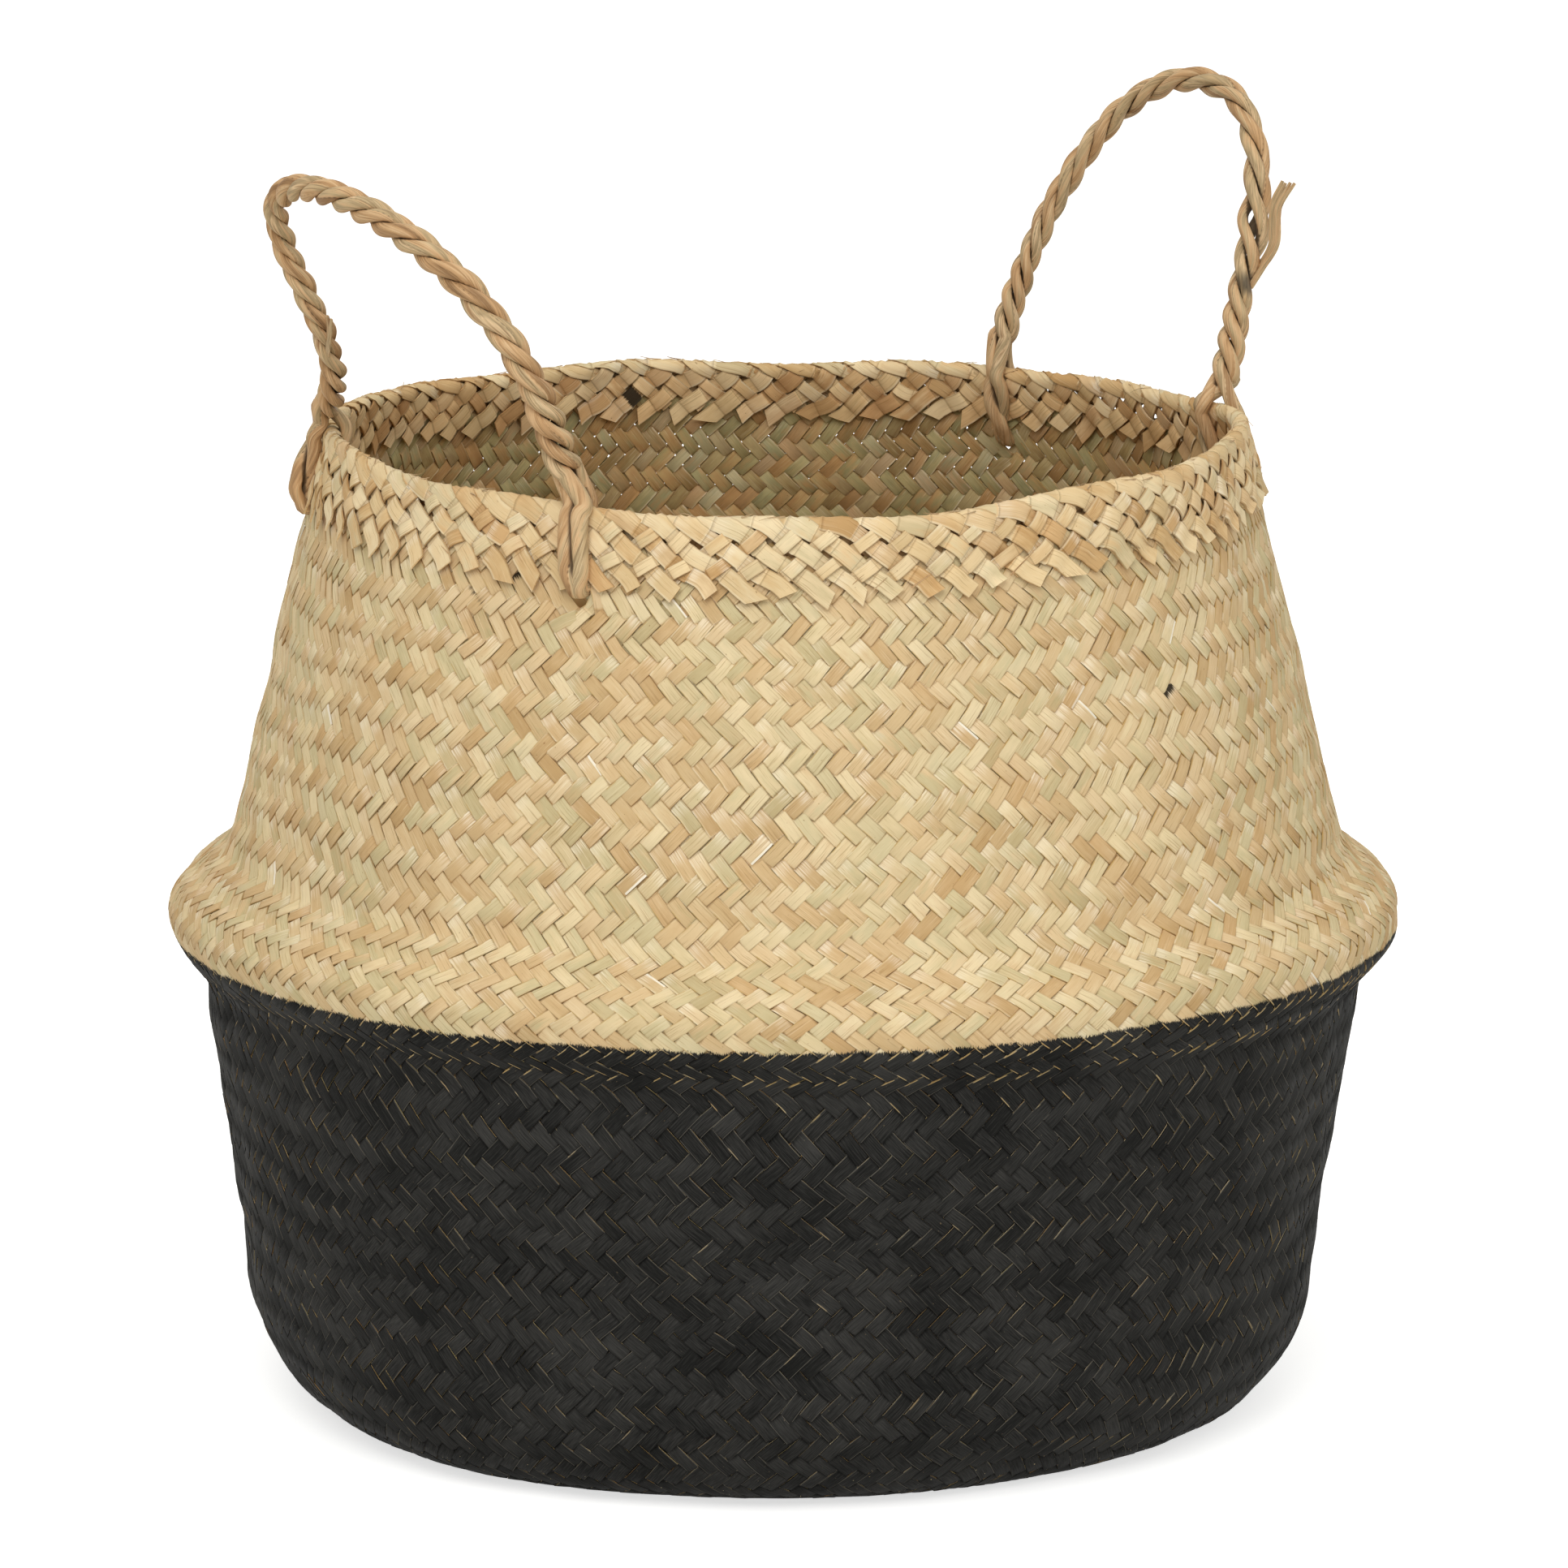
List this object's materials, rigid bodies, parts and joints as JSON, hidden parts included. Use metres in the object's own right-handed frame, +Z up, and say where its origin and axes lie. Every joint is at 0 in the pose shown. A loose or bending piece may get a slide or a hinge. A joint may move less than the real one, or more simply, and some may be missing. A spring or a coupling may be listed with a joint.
{
  "type": "belly basket",
  "caption": "Round plaited sedge basket folded out into a belly, dark painted lower half, two swinging rope handles.",
  "frame": {"origin": "centre of the flat base, where the basket stands", "axes": "+Z up along the basket's axis, +X towards the right handle"},
  "size_m": [0.3998, 0.3998, 0.4188],
  "materials": {
    "natural_sedge": "raw plaited sedge strips, matt with a faint sheen",
    "painted_sedge": "brushed matt dark paint over plaited sedge",
    "rope": "twisted raw fibre rope"
  },
  "bodies": {
    "base": {"base_mat": "painted_sedge", "base_corner": "painted_sedge", "lower_wall": "painted_sedge", "belly_tuck": "painted_sedge", "fold_shoulder": "natural_sedge"},
    "top": {"upper_wall": "natural_sedge", "hem_outer": "natural_sedge", "hem_inner": "natural_sedge", "left_front_bight": "rope", "left_front_end": "rope", "left_back_bight": "rope", "left_back_end": "rope", "right_front_bight": "rope", "right_front_end": "rope", "right_back_bight": "rope", "right_back_end": "rope"},
    "left_handle": {"left_grip": "rope", "left_stub_end": "rope"},
    "right_handle": {"right_grip": "rope", "right_frayed_tail": "rope"}
  },
  "joints": [
    {"name": "belly_flex", "type": "slide", "parent": "base", "child": "top", "axis": [0, 0, 1], "range_m": [-0.025, 0.015], "deforming": ["fold_shoulder"]},
    {"name": "left_handle_swing", "type": "hinge", "parent": "top", "child": "left_handle", "pos_m": [-0.12934, 0.01132, 0.32305], "axis": [-0.0872, -0.9962, 0], "range_deg": [-111, 61]},
    {"name": "right_handle_swing", "type": "hinge", "parent": "top", "child": "right_handle", "pos_m": [0.13829, 0, 0.32305], "axis": [0, 1, 0], "range_deg": [-108, 64]}
  ]
}
